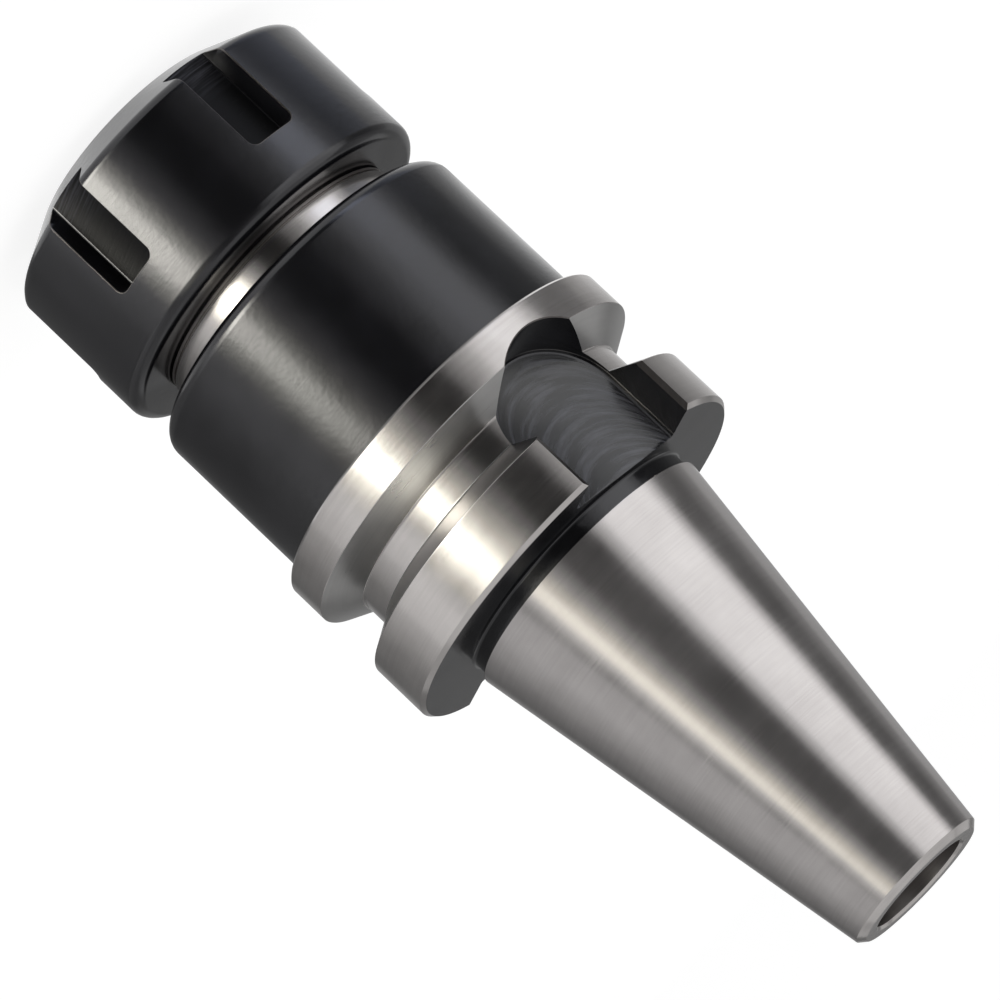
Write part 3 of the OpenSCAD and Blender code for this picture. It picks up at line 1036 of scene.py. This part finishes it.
@dataclass
class Collet(Piece):
    """Spring collet, slit in turn from both ends."""

    name: str = "collet_dressed"
    node: str = "collet"
    body: str = "collet"
    slot: str = "collet_steel"
    surfaces: tuple[Surface, ...] = (Surface.COLLET, Surface.SLIT)
    recess: float = 0.4
    length: float = 34.0
    bore_r: float = 6.0
    head_len: float = 2.6
    head_r: float = 12.4
    head_slope_deg: float = 30.0
    groove_w: float = 2.2
    groove_r: float = 11.0
    collet_r: float = 13.0
    shoulder_len: float = 1.0
    slope_deg: float = 8.0
    bevel: float = 0.4
    slit_count: int = 8
    slit_w: float = 1.0
    slit_rest: float = 5.0
    edge_r: float = 0.1
    overrun: float = 1.0

    def section(self) -> list[Corner | Thread]:
        """Gives the collet's section, out across its face, up the outside and down the bore."""
        steel = Surface.COLLET
        head_back = self.recess + self.head_len
        groove_back = head_back + self.groove_w
        taper_start = groove_back + self.shoulder_len
        end = self.recess + self.length
        slope = math.tan(math.radians(self.slope_deg))
        end_r = self.collet_r - (end - taper_start) * slope
        face_r = self.head_r - self.head_len * math.tan(math.radians(self.head_slope_deg))
        return [
            Corner(self.bore_r + self.bevel, self.recess, steel),
            Corner(face_r, self.recess, steel, self.edge_r),
            Corner(self.head_r, head_back, steel, self.edge_r),
            Corner(self.groove_r, head_back, steel),
            Corner(self.groove_r, groove_back, steel),
            Corner(self.collet_r - self.bevel, groove_back, steel),
            Corner(self.collet_r, groove_back + self.bevel, steel),
            Corner(self.collet_r, taper_start, steel),
            Corner(end_r + self.bevel * slope, end - self.bevel, steel, self.edge_r),
            Corner(end_r - self.bevel, end, steel),
            Corner(self.bore_r + self.bevel, end, steel),
            Corner(self.bore_r, end - self.bevel, steel),
            Corner(self.bore_r, self.recess + self.bevel, steel),
        ]

    def slit(self, turn_deg: float, low: float, high: float) -> Pocket:
        """Gives one slit.

        Args:
            turn_deg: Turn of the slit around the axis.
            low: Lower end of the slit.
            high: Upper end of the slit.

        Returns:
            The slit as a pocket.
        """
        half = self.slit_w / 2
        outline = [(-half, low), (-half, high), (half, high), (half, low)]
        reach = (self.bore_r - 2 * self.overrun, self.collet_r + self.overrun)
        levels = [Level(0.0, x, Surface.SLIT) for x in reach]
        return Pocket(lambda offset: outline, levels, Surface.SLIT, turn_deg)

    def pockets(self) -> list[Pocket]:
        """Gives all the slits, sawn in turn from the front and from the back."""
        end = self.recess + self.length
        groove_back = self.recess + self.head_len + self.groove_w
        step = 360 / self.slit_count
        front = (0.0, self.recess - self.overrun, end - self.slit_rest)
        rear = (step / 2, groove_back + self.slit_rest, end + self.overrun)
        return [self.slit(start + i * step, *ends) for start, *ends in (front, rear) for i in range(self.slit_count)]


@dataclass(frozen=True)
class Panel:
    """A stretch of the tent's wall, from the last one's end, that lights a band along the metal.

    Its brightness, where 1 is white, runs from the first level to the end level.
    """

    end_deg: float
    level: float
    end_level: float
    tint: str = "#FFFFFF"


@dataclass(frozen=True)
class Wall:
    """One tier of the light tent, from a lower to an upper height in metres."""

    name: str
    low: float
    high: float
    panels: tuple[Panel, ...]


@dataclass
class Studio:
    """Pale floor, a light tent all around, and a ceiling.

    The part stands on its nut here, and its sides mirror what is level with them or a little lower,
    so the tent reaches below the floor, which mirrors don't show. From the lowest up, its tiers show
    in the nut, the neck, the body, the flange and the taper, and the highest two in what faces up.
    """

    radius: float = 0.7
    floor_size: float = 12.0
    floor_colour: str = "#9A9A9A"
    floor_glow: float = 0.86
    air_light: float = 0.6
    ceiling: tuple[float, float] = (0.75, 0.65)
    reflector: tuple[float, float] = (-0.6, 0.8)
    walls: tuple[Wall, ...] = (
        Wall("nut_wall", -0.6, -0.172, (
            Panel(-108, 1.1, 1.0), Panel(-84, 1.0, 0.65), Panel(-56, 0.6, 0.35, BLUISH), Panel(-44, 0.3, 0.3, BLUISH),
            Panel(-36, 0.5, 1.8, BLUISH), Panel(-20, 1.9, 1.8, BLUISH), Panel(-10, 1.0, 0.1, BLUISH),
            Panel(16, 0.06, 0.02), Panel(36, 0.015, 0.03), Panel(56, 0.05, 0.7), Panel(66, 1.6, 6.0, WARM),
            Panel(82, 13.0, 12.5, WARM), Panel(94, 7.0, 2.2, WARM), Panel(120, 1.3, 0.6), Panel(150, 0.52, 0.26),
            Panel(190, 0.24, 0.12), Panel(210, 0.12, 0.25),
        )),
        Wall("neck_wall", -0.172, -0.154, (
            Panel(-108, 0.6, 0.5), Panel(-56, 0.3, 0.15), Panel(-44, 0.3, 1.5), Panel(-8, 1.8, 1.7),
            Panel(12, 1.0, 0.1), Panel(40, 0.01, 0.02), Panel(60, 0.05, 0.6), Panel(82, 1.8, 1.7, WARM),
            Panel(92, 0.8, 0.4), Panel(120, 0.4, 0.3), Panel(170, 0.2, 0.08), Panel(210, 0.08, 0.2),
        )),
        Wall("body_wall", -0.154, -0.12, (
            Panel(-108, 1.0, 0.95), Panel(-84, 0.85, 0.35), Panel(-56, 0.2, 0.18), Panel(-44, 0.2, 0.3),
            Panel(-36, 0.4, 1.05), Panel(-20, 1.1, 1.05), Panel(-2, 0.85, 0.12), Panel(22, 0.1, 0.02),
            Panel(38, 0.01, 0.02), Panel(56, 0.03, 0.4), Panel(67, 0.4, 1.5, WARM), Panel(81, 6.2, 6.0, WARM),
            Panel(90, 2.6, 1.0, WARM), Panel(114, 0.66, 0.44), Panel(150, 0.36, 0.14), Panel(190, 0.16, 0.1),
            Panel(210, 0.13, 0.3),
        )),
        Wall("middle_wall", -0.12, -0.05, (
            Panel(-126, 0.9, 0.7), Panel(-108, 0.6, 0.5), Panel(-84, 0.42, 0.24), Panel(-50, 0.2, 0.2),
            Panel(-38, 0.5, 1.2), Panel(-6, 1.35, 1.25), Panel(14, 1.0, 0.15), Panel(36, 0.015, 0.015),
            Panel(48, 0.05, 0.3), Panel(64, 0.4, 0.9, WARM), Panel(84, 1.6, 1.5, WARM), Panel(94, 1.0, 0.6, WARM),
            Panel(104, 0.7, 0.9), Panel(126, 1.0, 0.85), Panel(156, 0.66, 0.26), Panel(190, 0.25, 0.14),
            Panel(210, 0.2, 0.4),
        )),
        Wall("shoulder_wall", 0.19, 0.34, (
            Panel(-98, 0.16, 0.3), Panel(-55, 0.3, 0.2), Panel(2, 1.1, 1.0), Panel(14, 0.8, 0.3), Panel(46, 0.1, 0.1),
            Panel(60, 0.15, 0.45), Panel(80, 0.6, 1.2, WARM), Panel(96, 0.7, 0.36), Panel(154, 0.5, 0.3),
            Panel(210, 0.24, 0.14),
        )),
        Wall("high_wall", 0.34, 0.75, (
            Panel(-98, 0.6, 0.6), Panel(-55, 0.4, 0.3), Panel(2, 1.0, 1.0), Panel(46, 0.4, 0.1), Panel(60, 0.15, 0.45),
            Panel(90, 0.8, 0.5), Panel(150, 0.5, 0.45), Panel(210, 0.4, 0.5),
        )),
        Wall("upper_wall", -0.05, 0.19, (
            Panel(-98, 0.36, 0.42), Panel(-78, 0.3, 0.16), Panel(-55, 0.13, 0.12), Panel(-44, 0.4, 1.1),
            Panel(2, 1.3, 1.22), Panel(14, 0.9, 0.35), Panel(46, 0.07, 0.1), Panel(60, 0.15, 0.45),
            Panel(70, 0.55, 1.0, WARM), Panel(80, 1.6, 1.6, WARM), Panel(90, 0.9, 0.35), Panel(96, 0.3, 0.36),
            Panel(124, 0.54, 0.56), Panel(154, 0.54, 0.3), Panel(186, 0.28, 0.13), Panel(210, 0.13, 0.36),
        )),
    )

    def glow(self, add: AddNode) -> Node:
        """Gives a shader that glows in the mesh's own colours."""
        return add("Emission", {"Color": add("Attribute", attribute_name=GLOW)})

    def seen(self, add: AddNode) -> Node:
        """Gives 1 to rays from the camera, also by way of a mirror or glass, and 0 to other light."""
        rays = add("LightPath").outputs
        seen = add("Math", {0: rays["Is Camera Ray"], 1: rays["Is Glossy Ray"]}, "MAXIMUM")
        return add("Math", {0: seen, 1: rays["Is Transmission Ray"]}, "MAXIMUM")

    def floor(self, add: AddNode) -> Node:
        """Gives the floor's shader, white to the camera but for the part's shadow."""
        glow = add("Math", {0: self.seen(add), 1: self.floor_glow}, "MULTIPLY")
        light = add("Emission", {"Strength": glow})
        paint = add("BsdfDiffuse", {"Color": linear_colour(self.floor_colour)})
        return add("AddShader", {0: light, 1: paint})

    def add_sheet(self, name: str, points: list[Point], faces: list[Face], colours: Sequence[Colour] = ()) -> Object:
        """Makes an object of the studio, which isn't part of the holder.

        Args:
            name: Name of the object.
            points: Its points in metres.
            faces: Its faces.
            colours: Linear colour of its light at each point, without limit. Without them it is the floor.

        Returns:
            The object.
        """
        mesh = bpy.data.meshes.new(name)
        mesh.from_pydata(points, [], faces)
        thing = link(name, mesh)
        if colours:
            mesh.attributes.new(GLOW, "FLOAT_COLOR", "POINT").data.foreach_set("color", np.ravel(colours))
            mesh.materials.append(new_material(name, self.glow))
            thing.visible_camera = False
        else:
            mesh.materials.append(new_material("pale_floor", self.floor))
        return thing

    def add_wall(self, wall: Wall) -> None:
        """Sets up one tier of the tent.

        Args:
            wall: The tier.
        """
        points, faces, colours = [], [], []
        start_deg = TENT_START_DEG
        for panel in wall.panels:
            count = max(1, round((panel.end_deg - start_deg) / TENT_STEP_DEG))
            tint = linear_colour(panel.tint)[:3]
            for i in range(count + 1):
                angle = math.radians(start_deg + (panel.end_deg - start_deg) * i / count)
                x, y = self.radius * math.cos(angle), self.radius * math.sin(angle)
                points += [(x, y, wall.low), (x, y, wall.high)]
                level = panel.level + (panel.end_level - panel.level) * i / count
                colours += [(*(level * share for share in tint), 1.0)] * 2
                if i:
                    last = len(points)
                    faces.append((last - 4, last - 3, last - 1, last - 2))
            start_deg = panel.end_deg
        self.add_sheet(wall.name, points, faces, colours)

    def add_disc(self, name: str, z: float, level: float) -> None:
        """Sets up a level disc above or below the part.

        Args:
            name: Name of the disc and its material.
            z: Its height in metres.
            level: Its brightness, where 1 is white.
        """
        angles = [2 * math.pi * i / DISC_CORNERS for i in range(DISC_CORNERS)]
        points = [(self.radius * math.cos(angle), self.radius * math.sin(angle), z) for angle in angles]
        self.add_sheet(name, points, [tuple(range(DISC_CORNERS))], [(level, level, level, 1.0)] * DISC_CORNERS)

    def add_floor(self) -> None:
        """Lays the floor, clear to reflections."""
        half = self.floor_size / 2
        points = [(-half, -half, 0.0), (half, -half, 0.0), (half, half, 0.0), (-half, half, 0.0)]
        floor = self.add_sheet("floor", points, [(0, 1, 2, 3)])
        floor.visible_glossy = False
        floor.visible_shadow = False

    def add_world(self) -> None:
        """Sets a world that is pale behind the part and dimmer as a light."""
        world = bpy.data.worlds.new("studio_air")
        world.use_nodes = True
        world.node_tree.nodes.clear()
        add = partial(add_node, world.node_tree)
        share = add("MapRange", {"Value": self.seen(add), "To Min": self.air_light, "To Max": 1.0})
        add("OutputWorld", {"Surface": add("Background", {"Strength": share})})
        bpy.context.scene.world = world

    def build(self) -> None:
        """Builds the whole studio."""
        for wall in self.walls:
            self.add_wall(wall)
        self.add_disc("ceiling", *self.ceiling)
        self.add_disc("low_reflector", *self.reflector)
        self.add_floor()
        self.add_world()
        log.info("studio: floor, ceiling and a tent of %d tiers", len(self.walls))


@dataclass(frozen=True)
class Viewpoint:
    """The photograph's camera, rolled because the part lies at a slant there and stands here."""

    azimuth_deg: float = 37.72
    elevation_deg: float = 12.42
    roll_deg: float = -133.38
    distance: float = 0.7079
    aim: tuple[float, float, float] = (0.00012, 0.00126, 0.05608)
    lens_mm: float = 239.9
    sensor_mm: float = 36.0
    nearest: float = 0.05

    def build(self) -> None:
        """Sets up the camera."""
        lens = bpy.data.cameras.new("photo_camera")
        lens.lens = self.lens_mm
        lens.sensor_width = self.sensor_mm
        lens.clip_start = self.nearest
        camera = link("photo_camera", lens)
        azimuth = Matrix.Rotation(math.radians(90 + self.azimuth_deg), 4, "Z")
        elevation = Matrix.Rotation(math.radians(90 - self.elevation_deg), 4, "X")
        roll = Matrix.Rotation(math.radians(-self.roll_deg), 4, "Z")
        back = Matrix.Translation((0, 0, self.distance))
        camera.matrix_world = Matrix.Translation(self.aim) @ azimuth @ elevation @ roll @ back
        bpy.context.scene.camera = camera


def main() -> None:
    """Builds the holder, its studio and the camera."""
    logging.basicConfig(level=logging.INFO, format="%(message)s")
    bpy.context.scene.view_settings.view_transform = "Standard"
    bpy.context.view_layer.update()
    materials = {surface: new_material(surface.value.name, surface.value.shade) for surface in Surface}
    for piece in (Arbor(), ClampingNut(), Collet()):
        piece.build(materials)
    Studio().build()
    Viewpoint().build()


if __name__ == "__main__":
    main()
